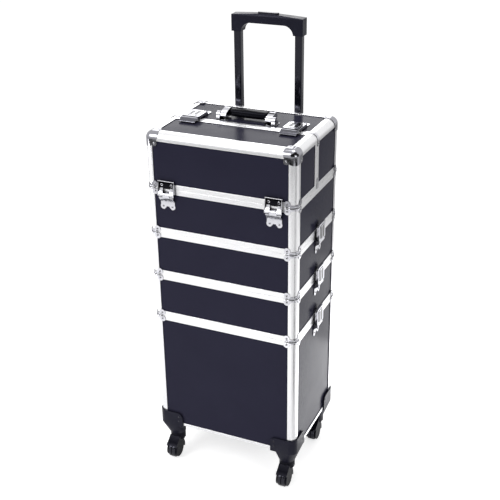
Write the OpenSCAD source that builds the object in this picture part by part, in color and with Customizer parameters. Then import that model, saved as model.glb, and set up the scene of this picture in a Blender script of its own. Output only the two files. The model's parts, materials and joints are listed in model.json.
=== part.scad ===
// Rolling makeup case: a base box on casters, two stacking trays, a top case
// with a front flap, draw latches, a carry handle and a telescopic trolley handle.
// Millimetres, +Z up, origin on the floor under the middle of the outer box.

/* [Case] */
// Width of the case across its aluminium edges
case_w = 340; // [310:1:400]
// Depth of the case from front edge to rear edge
case_d = 250; // [225:1:300]
// Height of the base box from its underside to the first seam
base_h = 293; // [265:1:325]
// Height of each stacking tray from seam to seam
tray_h = 103.4; // [95:0.2:120]
// Height of the hood above the last seam
hood_h = 120.8; // [105:0.2:140]
// Height of the base's underside above the floor
ride_h = 100; // [97:1:110]
// Place of the hood's split behind the middle of the case
split_y = -10.5; // [-18:0.5:0]
// Air gap at each seam between stacked modules
seam_gap = 0.4; // [0.3:0.1:0.8]

/* [Edges and panels] */
// Outer rounding of the posts and of the hood's edges
edge_r = 14; // [12:0.5:16]
// Wall of the aluminium edge profiles
skin_t = 1.6; // [1.2:0.1:2]
// Visible width of a corner post on the front and rear faces
post_face = 17.5; // [17:0.5:22]
// Visible width of a corner post on the side faces
post_side = 21; // [17:0.5:24]
// Visible height of the hood's top edge on its upright faces
lid_face = 18; // [17:0.5:22]
// Visible width of the hood's top edge seen from above
lid_top = 21.5; // [17:0.5:26]
// Visible height of the strip on each side of a seam
strip_face = 11.2; // [10:0.2:13]
// Visible height of the strip along the base's lower edge
foot_face = 7; // [6:0.5:10]
// Visible width of the bar on each side of the hood's split
bar_face = 10.4; // [9.4:0.2:13]
// Thickness of the wall panels
panel_t = 4; // [3:0.5:5]
// Thickness of the module floors
floor_t = 3; // [2:0.5:5]
// Clearance between a panel and the profile round it
panel_gap = 0.2; // [0.1:0.05:0.3]
// Height of the locating tongue above a rim
tongue_h = 4; // [3:0.5:5]
// Clearance between the tongue and the module above
tongue_gap = 0.5; // [0.4:0.1:0.8]

/* [Corner caps] */
// Sheet thickness of the pressed corner caps
cap_t = 1; // [0.8:0.1:1.4]
// Height of a seam corner cap
cap_h = 14.5; // [13:0.5:18]
// Height of a cap's strap round the corner
cap_strap = 5.8; // [4.8:0.2:8]
// Reach of a seam corner cap along each face
cap_reach = 27; // [25:0.5:28]
// Radius of the ball that bounds a hood corner cap
ball_reach = 24; // [22:0.5:28]
// Radius of the riveted lobes of a hood corner cap
lobe_r = 6.5; // [5.5:0.5:8]
// Distance of those lobes' middles from the corner along each edge
lobe_in = 22.5; // [21:0.5:25]
// Clearance under the corner caps
cap_gap = 0.1; // [0.05:0.05:0.2]

/* [Latches and hinges] */
// Width of a latch or hinge
latch_w = 38; // [34:1:42]
// Reach of the riveted tail below the seam
tail_reach = 47; // [45:1:52]
// Reach of a latch lever past the seam
claw_reach = 23; // [21:0.5:26]
// Reach of a top latch's lever past the hood's split
top_reach = 8; // [7:0.5:8]
// Sheet thickness of the pressed latch and hinge pieces
sheet_t = 1.5; // [1.2:0.1:1.8]
// Radius of the hinge and latch pins
pin_r = 1.6; // [1.4:0.1:2]
// Radial running clearance on every pin
run_gap = 0.05; // [0.03:0.01:0.08]
// Radius of the rolled barrels round the pins
barrel_r = 4.2; // [3.8:0.1:4.6]
// Distance of the front hinges' middles inside the case's sides
hinge_in = 48; // [46:1:70]
// Distance of the top latches' middles inside the case's sides
top_latch_in = 55; // [48:1:70]
// Place of the side latches behind the middle of the case
side_latch_y = 7; // [-20:1:20]
// Depth of the front hinge pins below the seam
hinge_drop = 11.5; // [11:0.5:13]

/* [Carry handle] */
// Length of the padded grip
carry_len = 90; // [80:1:104]
// Depth of the grip when it lies flat
carry_deep = 26; // [22:0.5:28]
// Thickness of the grip when it lies flat
carry_thick = 18; // [16:0.5:20]
// Place of the swing axis behind the hood's split
carry_y = 26; // [25:0.5:32]
// Distance from the swing axis to the middle of the grip
carry_swing = 20; // [19:0.5:24]
// Radius of the steel rod inside the handle
carry_rod_r = 3; // [2.5:0.25:3.5]

/* [Trolley handle] */
// Height of the grip above the hood with the handle pulled out
handle_rise = 206; // [180:1:240]
// Distance between the middles of the two legs
leg_pitch = 143; // [130:1:160]
// Width of the innermost leg tube
leg_w = 16.5; // [14:0.5:17]
// Depth of the innermost leg tube
leg_d = 18; // [16:0.5:20]
// Wall of the leg tubes
leg_wall = 1.4; // [1.2:0.1:1.6]
// Sliding clearance between the leg tubes
leg_gap = 0.5; // [0.4:0.1:0.7]
// Length of leg tube that stays inside the next one
leg_overlap = 42; // [36:1:50]
// Gap between the rear edges and the outer leg tubes
leg_stand_off = 1.6; // [1.2:0.1:2.5]
// Width of the trolley grip
grip_w = 166; // [158:1:180]
// Thickness of the trolley grip at its middle
grip_h = 24; // [22:0.5:28]
// Height of the grip's sockets
socket_h = 44; // [40:1:48]
// Length of the push button
button_len = 48; // [40:1:56]
// Travel of the push button
button_travel = 3; // [2:0.5:4]

/* [Casters] */
// Distance of the swivel axes inside the case's faces
swivel_in = 28; // [26:0.5:30]
// Radius of the wheels
wheel_r = 21; // [19:0.5:22]
// Width of the wheels
wheel_w = 18; // [15:0.5:20]
// Trail of the wheel in front of the swivel axis
trail = 19; // [17:0.5:21]
// Radius of the wheel axle
axle_r = 3; // [2.5:0.25:3.5]
// Radius of the swivel stem
stem_r = 5; // [4.5:0.25:6]
// Radius of the neck between bracket and fork
neck_r = 19; // [18:0.5:20]
// Reach of the corner bracket along each face
bracket_reach = 58; // [54:1:62]
// Height of the corner bracket up each face
bracket_up = 34; // [30:1:38]
// Wall of the moulded corner bracket
bracket_t = 3; // [2.5:0.25:3.5]

/* [Hidden] */
$fn = 48;

// Colours
panel_black = "#26262e";
aluminium = "#d4d5d8";
chrome = "#e6e7ea";
moulded_black = "#17171b";
gloss_black = "#0e0e12";

// Seam heights
seam1 = ride_h + base_h;
seam2 = seam1 + tray_h;
seam3 = seam2 + tray_h;
seam4 = seam3 + tray_h;
hood_top = seam4 + hood_h;

// Insets of the wall's layers from the outer faces
panel_in = skin_t + panel_gap;
lining_in = panel_in + panel_t;
rim_cover = 0.7;
rim_in = lining_in + rim_cover;
tongue_out = rim_in + tongue_gap;
tongue_in = tongue_out + skin_t;
tongue_root = strip_face - skin_t;
floor_lift = tongue_h + 2;
post_x = case_w / 2 - post_face;
post_y = case_d / 2 - post_side;

// Corner caps: distance of a seam cap's middle from its seam
cap_off = cap_h / 2 + seam_gap / 2 + 0.4;

// Latch and hinge geometry in a face's own frame: X across, Y towards the claw, Z outwards
edge_clear = 0.4;
face_clear = 0.6;
weld = 0.5;
pivot_w = barrel_r + face_clear;
latch_drop = 20;
hinge_x = case_w / 2 - hinge_in;
top_latch_x = case_w / 2 - top_latch_in;
top_back = claw_reach - top_reach;
ear_in = 12.4;
ear_gap = 0.7;
ear_out = latch_w / 2 - sheet_t - ear_gap;
tail_w = latch_w - 3;
foot_r = 7;
keeper_h = 2.4;
claw_gap = 0.5;
knuckle_half = 8;
knuckle_gap = 0.4;
leaf_lead = 2.5;

// Carry handle, in the frame of the hood's top at the split
carry_pivot_w = 9;
carry_grip_w = carry_thick / 2 + 2;
carry_lug = 8;
carry_arm = 14;
carry_end_r = carry_thick / 2;
carry_foot_w = carry_arm + carry_lug + 6;
carry_foot_off = (carry_foot_w - carry_lug) / 2 - 2;
carry_foot_d = 27;
carry_foot_low = -8;
carry_arm_x = carry_len / 2 + carry_arm / 2 + 0.3;
carry_lug_x = carry_arm_x + carry_arm / 2 + 0.4 + carry_lug / 2;

// Trolley tube sizes, innermost first
mid_w = leg_w + 2 * (leg_gap + leg_wall);
mid_d = leg_d + 2 * (leg_gap + leg_wall);
outer_w = mid_w + 2 * (leg_gap + leg_wall);
outer_d = mid_d + 2 * (leg_gap + leg_wall);
leg_r = 3;
leg_y = case_d / 2 + leg_stand_off + outer_d / 2;
outer_bottom = ride_h + foot_face + 3;
outer_top = seam1 + leg_overlap;
grip_top = hood_top + handle_rise;
socket_z = grip_top - socket_h;
collar_h = 10;
collar_lip = 2;
stage = (socket_z - outer_top) / 2;
mid_top = outer_top + stage;
socket_deep = 12;
fit_gap = 0.15;
mount_h = 26;

// Trolley grip and its push button
button_proud = 2;
button_w = 12;
button_gap = 0.4;
stop_gap = 0.5;
grip_d = leg_d + 6;
yoke_h = 5;
yoke_w = 6;
rod_r = 2.5;
pocket_z = grip_top - button_proud - 6;
yoke_z = pocket_z - yoke_h;

// Caster heights
neck_z = 2 * wheel_r + 21;
swivel_gap = 0.5;
crown_top = neck_z - swivel_gap;
crown_low = 2 * wheel_r + 3;
fork_gap = 1;
fork_arm = 3.2;
tread_gap = 2.5;
fork_r = wheel_r + tread_gap + 2.5;
cheek_r = wheel_r - 3;
lip_z = 1.85 * wheel_r;
fork_w = wheel_w + 2 * (fork_gap + fork_arm);
stem_len = 24;

// Shift that centres the outer box on the origin
mount_wall = 2.6;
front_reach = case_d / 2 - swivel_in + trail + wheel_r;
rear_reach = leg_y + outer_d / 2 + mount_wall;
frame_shift = (front_reach - rear_reach) / 2;
module placed() translate([0, frame_shift, 0]) children();

// Outline of the case seen from above, inset from its outer faces
module plan(inset) {
  w = case_w - 2 * inset;
  d = case_d - 2 * inset;
  r = edge_r - inset;
  square([w - 2 * r, d], center = true);
  square([w, d - 2 * r], center = true);
  for (sx = [-1, 1], sy = [-1, 1])
    translate([sx * (w / 2 - r), sy * (d / 2 - r)]) circle(r);
}

// Upright wall between two insets
module band(outer, inner, z, h) {
  translate([0, 0, z]) linear_extrude(h) difference() {
    plan(outer);
    plan(inner);
  }
}

// Hood volume with rounded upper edges, inset from its outer faces
module hood_block(inset, z_low) {
  w = case_w - 2 * inset;
  d = case_d - 2 * inset;
  r = edge_r - inset;
  top = hood_top - inset;
  translate([0, 0, z_low]) linear_extrude(top - r - z_low) plan(inset);
  translate([-w / 2 + r, -d / 2 + r, top - r - 1]) cube([w - 2 * r, d - 2 * r, r + 1]);
  for (s = [-1, 1]) {
    translate([0, s * (d / 2 - r), top - r]) rotate([0, 90, 0])
      cylinder(r = r, h = w - 2 * r, center = true);
    translate([s * (w / 2 - r), 0, top - r]) rotate([90, 0, 0])
      cylinder(r = r, h = d - 2 * r, center = true);
  }
  for (sx = [-1, 1], sy = [-1, 1])
    translate([sx * (w / 2 - r), sy * (d / 2 - r), top - r]) sphere(r);
}

// Hood wall between two insets
module hood_wall(outer, inner) {
  z_low = seam4 + seam_gap / 2;
  difference() {
    hood_block(outer, z_low);
    hood_block(inner, z_low - 1);
  }
}

// Keeps the part of the hood in front of the split (side -1) or behind it (side 1)
module hood_half(side) {
  y_cut = split_y + side * seam_gap / 2;
  y_low = side < 0 ? -case_d : y_cut;
  y_high = side < 0 ? y_cut : case_d;
  intersection() {
    children();
    translate([-case_w, y_low, seam4]) cube([2 * case_w, y_high - y_low, hood_h + edge_r]);
  }
}

// Openings in the four faces of a profile frame, where the panels show
module face_windows(z_low, z_high) {
  translate([-post_x, -case_d, z_low]) cube([2 * post_x, 2 * case_d, z_high - z_low]);
  translate([-case_w, -post_y, z_low]) cube([2 * case_w, 2 * post_y, z_high - z_low]);
}

// Aluminium frame of one module: posts, strips, inner rims and a locating tongue
module module_frame(z_low, z_high, low_face) {
  difference() {
    band(0, skin_t, z_low, z_high - z_low);
    face_windows(z_low + low_face, z_high - strip_face);
  }
  band(0, rim_in, z_low, skin_t);
  band(0, tongue_in, z_high - skin_t, skin_t);
  band(tongue_out, tongue_in, z_high - tongue_root, tongue_root + tongue_h);
}

// Panels of one module: four walls and a floor
module module_shell(z_low, z_high, floor_z) {
  band(panel_in, lining_in, z_low + skin_t + panel_gap, z_high - z_low - 2 * (skin_t + panel_gap));
  translate([0, 0, floor_z]) linear_extrude(floor_t) plan(lining_in - panel_t / 2);
}

// Pressed cap above (up 1) or below (up -1) a seam: a strap round one corner with a lobe on each face
module seam_cap(sx, sy, seam, up) {
  end_r = cap_h / 2;
  lobe = cap_reach - end_r;
  thick = cap_t + cap_gap;
  z_mid = seam + up * cap_off;
  intersection() {
    band(-thick, -cap_gap, z_mid - end_r, cap_h);
    translate([sx * case_w / 2, sy * case_d / 2, z_mid]) scale([sx, sy, up]) union() {
      translate([-lobe, -edge_r, -end_r]) cube([lobe + thick, edge_r + thick, cap_strap]);
      translate([-edge_r, -lobe, -end_r]) cube([edge_r + thick, lobe + thick, cap_strap]);
      translate([-lobe, thick, 0]) rotate([90, 0, 0]) cylinder(r = end_r, h = edge_r);
      translate([thick - edge_r, -lobe, 0]) rotate([0, 90, 0]) cylinder(r = end_r, h = edge_r);
    }
  }
}

// Four caps round one side of a seam
module seam_caps(seam, up) {
  for (sx = [-1, 1], sy = [-1, 1]) seam_cap(sx, sy, seam, up);
}

// Caps at both ends of a module
module module_caps(z_low, z_high) {
  seam_caps(z_low, 1);
  seam_caps(z_high, -1);
}

// Places children on the right (side 1) or left (side -1) face at a seam
module on_side(side, z) {
  translate([side * case_w / 2, side_latch_y, z]) rotate([90, 0, side * 90]) children();
}

// Places children on the hood's top at its split, facing up
module on_top(x) translate([x, split_y, hood_top]) children();

// Places a top latch's pieces: behind the split, with the claw towards the front
module on_top_latch(x) on_top(x) rotate([0, 0, 180]) translate([0, -top_back, 0]) children();

// Places children on the front face at the last seam
module on_front(x) translate([x, -case_d / 2, seam4]) rotate([90, 0, 0]) children();

// Extrudes an outline drawn in a face's Y and Z along its X
module across(w) rotate([90, 0, 90]) linear_extrude(w, center = true) children();

// Riveted tail of a latch or hinge: a plate with two feet and a hollow lower edge
module tail_plate(step) {
  foot_x = tail_w / 2 - foot_r;
  foot_y = -tail_reach + foot_r;
  top_y = -step - edge_clear;
  translate([0, 0, -panel_in]) linear_extrude(sheet_t) difference() {
    union() {
      translate([-tail_w / 2 + 1, foot_y]) square([tail_w - 2, top_y - foot_y]);
      for (s = [-1, 1]) translate([s * foot_x, foot_y]) circle(foot_r);
    }
    translate([0, -tail_reach - 3]) circle(8.5);
  }
}

// Latch base: tail, two ears and the pin between them
module latch_plate(step) {
  pivot_v = -latch_drop;
  tail_plate(step);
  for (s = [-1, 1]) translate([s * (ear_in + ear_out) / 2, 0, 0]) {
    difference() {
      across(ear_out - ear_in) {
        translate([pivot_v, pivot_w]) circle(barrel_r);
        polygon([[pivot_v - barrel_r, pivot_w], [pivot_v - 10, -panel_in + weld],
          [-step - face_clear, -panel_in + weld], [-step - face_clear, 0], [pivot_v + barrel_r, pivot_w]]);
      }
      translate([0, pivot_v, pivot_w]) rotate([0, 90, 0])
        cylinder(r = pin_r + run_gap, h = latch_w, center = true);
    }
  }
  translate([0, pivot_v, pivot_w]) rotate([0, 90, 0]) cylinder(r = pin_r, h = 2 * ear_out, center = true);
}

// Latch lever: a rolled barrel on the pin, a pressed cover and a claw past the seam
module latch_lever(end_wall) {
  pivot_v = -latch_drop;
  cover_w = pivot_w + barrel_r - sheet_t;
  skirt_w = keeper_h + claw_gap;
  skirt_v = pivot_v + barrel_r + 4;
  corner = 4;
  skirt_end = claw_reach - corner - 1.5;
  neck_half = ear_in - 0.3;
  difference() {
    union() {
      translate([0, pivot_v, pivot_w]) rotate([0, 90, 0])
        cylinder(r = barrel_r, h = 2 * neck_half, center = true);
      translate([0, 0, cover_w]) linear_extrude(sheet_t) {
        translate([-latch_w / 2, pivot_v + barrel_r])
          square([latch_w, claw_reach - pivot_v - barrel_r - corner]);
        translate([-latch_w / 2 + corner, claw_reach - corner]) square([latch_w - 2 * corner, corner]);
        translate([-neck_half, pivot_v]) square([2 * neck_half, barrel_r + 1]);
        for (s = [-1, 1]) translate([s * (latch_w / 2 - corner), claw_reach - corner]) circle(corner);
      }
      for (s = [-1, 1]) translate([s * (latch_w - sheet_t) / 2, 0, 0]) across(sheet_t)
        polygon([[skirt_v, cover_w + weld], [skirt_v, cover_w - 1], [skirt_v + 6, skirt_w],
          [skirt_end, skirt_w], [skirt_end, cover_w + weld]]);
      if (end_wall) translate([0, claw_reach - sheet_t / 2, (skirt_w + cover_w + weld) / 2])
        cube([latch_w - 2 * corner, sheet_t, cover_w + weld - skirt_w], center = true);
      translate([0, 0, cover_w + sheet_t - weld]) linear_extrude(weld + 0.9) lever_pad();
    }
    translate([0, pivot_v, pivot_w]) rotate([0, 90, 0])
      cylinder(r = pin_r + run_gap, h = latch_w, center = true);
  }
}

// Raised thumb pad on a lever
module lever_pad() {
  pad_w = latch_w - 12;
  pad_r = 5;
  pad_low = -latch_drop + barrel_r + 4;
  pad_high = claw_reach - 5;
  translate([-pad_w / 2, pad_low + pad_r]) square([pad_w, pad_high - pad_low - 2 * pad_r]);
  translate([-pad_w / 2 + pad_r, pad_low]) square([pad_w - 2 * pad_r, pad_high - pad_low]);
  for (sx = [-1, 1], y = [pad_low + pad_r, pad_high - pad_r])
    translate([sx * (pad_w / 2 - pad_r), y]) circle(pad_r);
}

// Keeper under a latch's claw: a plate on the strip with a low ridge
module keeper(step) {
  keeper_w = latch_w - 2 * sheet_t - 4;
  translate([-keeper_w / 2, seam_gap, 0]) cube([keeper_w, step - seam_gap - edge_clear, sheet_t]);
  translate([0, step / 2 + 1, 0]) across(keeper_w - 6)
    polygon([[-3, 0], [-1.5, keeper_h], [1.5, keeper_h], [3, 0]]);
}

// Keeper of a top latch on the flap: a ridge under the claw and a sloped hook in front of it
module top_keeper() {
  keeper_w = latch_w - 2 * sheet_t - 4;
  plate_v = 2.2;
  hook_v = top_reach + 1.5;
  hook_len = 18;
  hook_h = 7.6;
  seat_v = bar_face + edge_clear;
  translate([-keeper_w / 2, plate_v, 0]) cube([keeper_w, hook_v - plate_v + weld, sheet_t]);
  translate([0, plate_v + 3.5, 0]) across(keeper_w - 6)
    polygon([[-3, 0], [-1.5, keeper_h], [1.5, keeper_h], [3, 0]]);
  across(latch_w) polygon([[hook_v, 0], [hook_v, hook_h - 1.5], [hook_v + 1.5, hook_h],
    [hook_v + 8, hook_h], [hook_v + hook_len - 1, 2 * sheet_t], [hook_v + hook_len, sheet_t],
    [hook_v + hook_len, 0]]);
  translate([-keeper_w / 2, seat_v, -panel_in]) cube([keeper_w, hook_len - 7, panel_in + weld]);
}

// Centre of the knuckles of a front hinge in the front face's frame
module at_hinge_pin() translate([0, -hinge_drop, pivot_w]) rotate([0, 90, 0]) children();

// Lower hinge leaf: riveted tail, sloped cover and the middle knuckle
module hinge_lower_leaf() {
  slope_low = -tail_reach + 17;
  slope_high = -hinge_drop - barrel_r - 3;
  strip_v = -strip_face - edge_clear;
  plate_w = -panel_in + sheet_t - weld;
  relief_r = barrel_r + ear_gap;
  tail_plate(strip_face);
  difference() {
    across(tail_w - 1)
      polygon([[slope_low, plate_w], [strip_v, plate_w], [strip_v, pivot_w],
        [slope_high, pivot_w + barrel_r - 1.6]]);
    at_hinge_pin() cylinder(r = relief_r, h = 2 * tail_w, center = true);
  }
  difference() {
    union() {
      at_hinge_pin() cylinder(r = barrel_r, h = 2 * knuckle_half, center = true);
      across(2 * knuckle_half) polygon([[-hinge_drop, 2 * face_clear], [strip_v, face_clear], [strip_v, 0],
        [slope_high, 0], [slope_high, pivot_w + 2], [-hinge_drop, pivot_w + barrel_r]]);
    }
    at_hinge_pin() cylinder(r = pin_r + run_gap, h = 2 * tail_w, center = true);
  }
}

// Upper hinge leaf: a pressed pan on the flap's strip and the two outer knuckles
module hinge_upper_leaf() {
  leaf_top = strip_face + 8;
  border = 5;
  outer = latch_w / 2;
  inner = knuckle_half + knuckle_gap;
  difference() {
    union() {
      translate([-outer, seam_gap, 0]) cube([latch_w, leaf_top - seam_gap, sheet_t]);
      translate([-outer, leaf_top - sheet_t, 0]) cube([latch_w, sheet_t, border]);
      for (s = [-1, 1]) {
        translate([s * (outer - sheet_t / 2), 0, 0]) across(sheet_t)
          polygon([[leaf_top, 0], [leaf_lead, 0], [-seam_gap, face_clear], [-hinge_drop, 2 * face_clear],
            [-hinge_drop, pivot_w + barrel_r], [leaf_top - 4, border], [leaf_top, border]]);
        translate([s * (outer + inner) / 2, 0, 0]) {
          at_hinge_pin() cylinder(r = barrel_r, h = outer - inner, center = true);
          across(outer - inner) polygon([[leaf_lead, 0], [leaf_lead + 2, sheet_t],
            [-hinge_drop + 2, pivot_w + barrel_r - 0.6], [-hinge_drop, pivot_w - 2]]);
        }
      }
    }
    at_hinge_pin() cylinder(r = pin_r + run_gap, h = 2 * latch_w, center = true);
  }
}

// Rounded rectangle
module soft_rect(w, d, r) {
  square([w - 2 * r, d], center = true);
  square([w, d - 2 * r], center = true);
  for (sx = [-1, 1], sy = [-1, 1]) translate([sx * (w / 2 - r), sy * (d / 2 - r)]) circle(r);
}

// Pair of leg tubes between two heights
module leg_pair(w, d, z_low, z_high) {
  for (s = [-1, 1]) translate([s * leg_pitch / 2, leg_y, z_low])
    linear_extrude(z_high - z_low) difference() {
      soft_rect(w, d, leg_r);
      soft_rect(w - 2 * leg_wall, d - 2 * leg_wall, leg_r - leg_wall);
    }
}

// Plastic collars on top of a tube pair, wider than the tubes at their sides
module leg_collars(w, d, z) {
  for (s = [-1, 1]) translate([s * leg_pitch / 2, leg_y, z]) linear_extrude(collar_h) difference() {
    soft_rect(w + collar_lip, d, leg_r);
    soft_rect(w - 2 * leg_wall, d - 2 * leg_wall, leg_r - leg_wall);
  }
}

// Corner bracket of one caster: two flaps, a foot under the box and a funnel to the neck
module caster_bracket(sx, sy) {
  end_r = 14;
  lobe = bracket_reach - end_r;
  thick = bracket_t + cap_gap;
  difference() {
    union() {
      intersection() {
        band(-thick, -cap_gap, ride_h - bracket_t, bracket_up + bracket_t);
        translate([sx * case_w / 2, sy * case_d / 2, ride_h - bracket_t]) scale([sx, sy, 1]) {
          for (m = [0, 1]) mirror([m, -m, 0]) {
            translate([thick, 0, 0]) mirror([1, 0, 0]) translate([0, -edge_r, 0])
              cube([lobe + thick, edge_r + thick, bracket_up + bracket_t]);
            translate([-lobe, thick, 0]) rotate([90, 0, 0]) linear_extrude(edge_r + thick) {
              translate([-end_r, 0]) square([end_r, bracket_up + bracket_t - end_r]);
              translate([0, bracket_up + bracket_t - end_r]) circle(end_r);
            }
          }
        }
      }
      hull() {
        intersection() {
          translate([0, 0, ride_h - bracket_t])
            linear_extrude(bracket_t - cap_gap, $fn = 32) plan(-thick, $fn = 32);
          translate([sx * case_w / 2, sy * case_d / 2, ride_h]) scale([sx, sy, 1])
            translate([-lobe, -lobe, -bracket_t]) cube([lobe + thick, lobe + thick, bracket_t]);
        }
        translate([sx * (case_w / 2 - swivel_in), sy * (case_d / 2 - swivel_in), neck_z])
          cylinder(r = neck_r, h = 4, $fn = 32);
      }
    }
    translate([sx * (case_w / 2 - swivel_in), sy * (case_d / 2 - swivel_in), neck_z - 1])
      cylinder(r = stem_r + run_gap, h = stem_len + 3);
  }
}

// Places children at one caster's swivel axis
module at_caster(sx, sy) {
  translate([sx * (case_w / 2 - swivel_in), sy * (case_d / 2 - swivel_in), 0]) children();
}

// Caster fork: stem, crown, a hood with a sloped lower edge and round cheeks, and the axle as its own piece
module caster_fork() {
  slope_z = wheel_r + 20;
  color(moulded_black) {
    translate([0, 0, crown_top - 1]) cylinder(r = stem_r, h = stem_len);
    translate([0, 0, crown_low]) cylinder(r = neck_r - 1, h = crown_top - crown_low);
    difference() {
      across(fork_w) {
        translate([-trail, wheel_r]) circle(cheek_r);
        intersection() {
          translate([-trail, wheel_r]) circle(fork_r);
          polygon([[-trail - fork_r, lip_z + 2], [fork_r - trail, wheel_r - 6],
            [fork_r - trail, 3 * wheel_r], [-trail - fork_r, 3 * wheel_r]]);
        }
        polygon([[neck_r - 5, crown_low + 2], [2 - neck_r, crown_low + 10], [-trail - 14, slope_z],
          [20 - trail, slope_z - 8]]);
      }
      across(wheel_w + 2 * fork_gap) {
        translate([-trail, wheel_r]) circle(wheel_r + tread_gap);
        translate([-trail - fork_r - 1, -1]) square([fork_r + 1, lip_z + 1]);
      }
      translate([0, -trail, wheel_r]) rotate([0, 90, 0])
        cylinder(r = axle_r + run_gap, h = 2 * fork_w, center = true);
    }
  }
  color(chrome) translate([0, -trail, wheel_r]) rotate([0, 90, 0])
    cylinder(r = axle_r, h = fork_w, center = true);
}

// Caster wheel: rounded tread, dished sides and a bore on the axle
module caster_wheel() {
  tread_r = 3;
  dish = 2;
  groove_w = 1.6;
  groove_deep = 4;
  color(moulded_black) translate([0, -trail, wheel_r]) rotate([0, 90, 0]) rotate_extrude() difference() {
    union() {
      translate([0, -wheel_w / 2]) square([wheel_r - tread_r, wheel_w]);
      translate([0, -wheel_w / 2 + tread_r]) square([wheel_r, wheel_w - 2 * tread_r]);
      for (s = [-1, 1]) translate([wheel_r - tread_r, s * (wheel_w / 2 - tread_r)]) circle(tread_r);
    }
    translate([0, -wheel_w]) square([axle_r + run_gap, 2 * wheel_w]);
    translate([wheel_r - groove_deep, -groove_w / 2]) square([2 * groove_deep, groove_w]);
    for (s = [-1, 1]) translate([axle_r + 3, s * wheel_w / 2 - dish])
      square([wheel_r - axle_r - 8, 2 * dish]);
  }
}

// Base box
module base_shell() {
  color(panel_black) module_shell(ride_h, seam1 - seam_gap / 2, ride_h + skin_t + panel_gap);
}
module base_frame() color(aluminium) module_frame(ride_h, seam1 - seam_gap / 2, foot_face);
module base_corners() color(chrome) seam_caps(seam1, -1);
module base_latch_plates() color(chrome) for (s = [-1, 1]) on_side(s, seam1) latch_plate(strip_face);
module caster_brackets() color(moulded_black) for (sx = [-1, 1], sy = [-1, 1]) caster_bracket(sx, sy);

// Stacking trays
module tray_shell(z_low, z_high) {
  color(panel_black) module_shell(z_low + seam_gap / 2, z_high - seam_gap / 2, z_low + floor_lift);
}
module tray_frame(z_low, z_high) {
  color(aluminium) module_frame(z_low + seam_gap / 2, z_high - seam_gap / 2, strip_face);
}
module tray_corners(z_low, z_high) color(chrome) module_caps(z_low, z_high);
module tray_keepers(z) color(chrome) for (s = [-1, 1]) on_side(s, z) keeper(strip_face);
module tray_latch_plates(z) color(chrome) for (s = [-1, 1]) on_side(s, z) latch_plate(strip_face);
module tray_lower_shell() tray_shell(seam1, seam2);
module tray_lower_frame() tray_frame(seam1, seam2);
module tray_lower_corners() tray_corners(seam1, seam2);
module tray_lower_keepers() tray_keepers(seam1);
module tray_lower_latch_plates() tray_latch_plates(seam2);
module tray_upper_shell() tray_shell(seam2, seam3);
module tray_upper_frame() tray_frame(seam2, seam3);
module tray_upper_corners() tray_corners(seam2, seam3);
module tray_upper_keepers() tray_keepers(seam2);
module tray_upper_latch_plates() tray_latch_plates(seam3);

// Top case: its tray, the fixed rear hood and the front flap
module top_tray_shell() tray_shell(seam3, seam4);
module top_tray_frame() tray_frame(seam3, seam4);
module top_tray_corners() tray_corners(seam3, seam4);
module top_tray_keepers() tray_keepers(seam3);
module hinge_lower_leaves() color(chrome) for (s = [-1, 1]) on_front(s * hinge_x) hinge_lower_leaf();
module hinge_pins() color(chrome) for (s = [-1, 1]) on_front(s * hinge_x)
  at_hinge_pin() cylinder(r = pin_r, h = latch_w - 2 * sheet_t, center = true);
module hinge_upper_leaves() color(chrome) for (s = [-1, 1]) on_front(s * hinge_x) hinge_upper_leaf();

// Profile frame of one half of the hood
module hood_frame(side) {
  y_edge = split_y + side * bar_face;
  y_post = side * post_y;
  y_top = side * (case_d / 2 - lid_top);
  x_top = case_w / 2 - lid_top;
  z_low = seam4 + seam_gap / 2 + strip_face;
  z_span = hood_top - lid_face - z_low;
  color(aluminium) hood_half(side) {
    difference() {
      hood_wall(0, skin_t);
      translate([-post_x, -case_d, z_low]) cube([2 * post_x, 2 * case_d, z_span]);
      translate([-case_w, min(y_edge, y_post), z_low]) cube([2 * case_w, abs(y_edge - y_post), z_span]);
      translate([-x_top, min(y_edge, y_top), hood_top - edge_r / 2])
        cube([2 * x_top, abs(y_edge - y_top), edge_r]);
    }
    band(0, rim_in, seam4 + seam_gap / 2, skin_t);
    intersection() {
      hood_wall(0, rim_in);
      translate([-case_w, split_y - skin_t - seam_gap / 2, seam4])
        cube([2 * case_w, 2 * skin_t + seam_gap, hood_h + edge_r]);
    }
  }
}

// Panels of one half of the hood
module hood_shell(side) {
  z_low = seam4 + seam_gap / 2 + skin_t + panel_gap;
  y_trim = split_y + side * (seam_gap / 2 + skin_t + panel_gap);
  color(panel_black) hood_half(side) intersection() {
    hood_wall(panel_in, lining_in);
    translate([-case_w, side < 0 ? -case_d : y_trim, z_low])
      cube([2 * case_w, side < 0 ? y_trim + case_d : case_d, hood_h]);
  }
}

// Corner caps of one half of the hood: two at the seam and two ball corners with lobes on top
module hood_corners(side) color(chrome) {
  lobe_len = 2 * (cap_t + cap_gap) + 4;
  for (sx = [-1, 1]) {
    seam_cap(sx, side, seam4, 1);
    intersection() {
      hood_wall(-cap_gap - cap_t, -cap_gap);
      translate([sx * case_w / 2, side * case_d / 2, hood_top]) scale([sx, side, 1]) union() {
        translate([-edge_r / 2, -edge_r / 2, -edge_r / 2]) sphere(ball_reach);
        translate([-lobe_in, -lobe_in, 0]) cylinder(r = lobe_r, h = lobe_len, center = true);
        translate([-lobe_in, 0, -lobe_in]) rotate([90, 0, 0])
          cylinder(r = lobe_r, h = lobe_len, center = true);
        translate([0, -lobe_in, -lobe_in]) rotate([0, 90, 0])
          cylinder(r = lobe_r, h = lobe_len, center = true);
      }
    }
  }
}
module rear_hood_shell() hood_shell(1);
module rear_hood_frame() hood_frame(1);
module rear_hood_corners() hood_corners(1);

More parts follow.
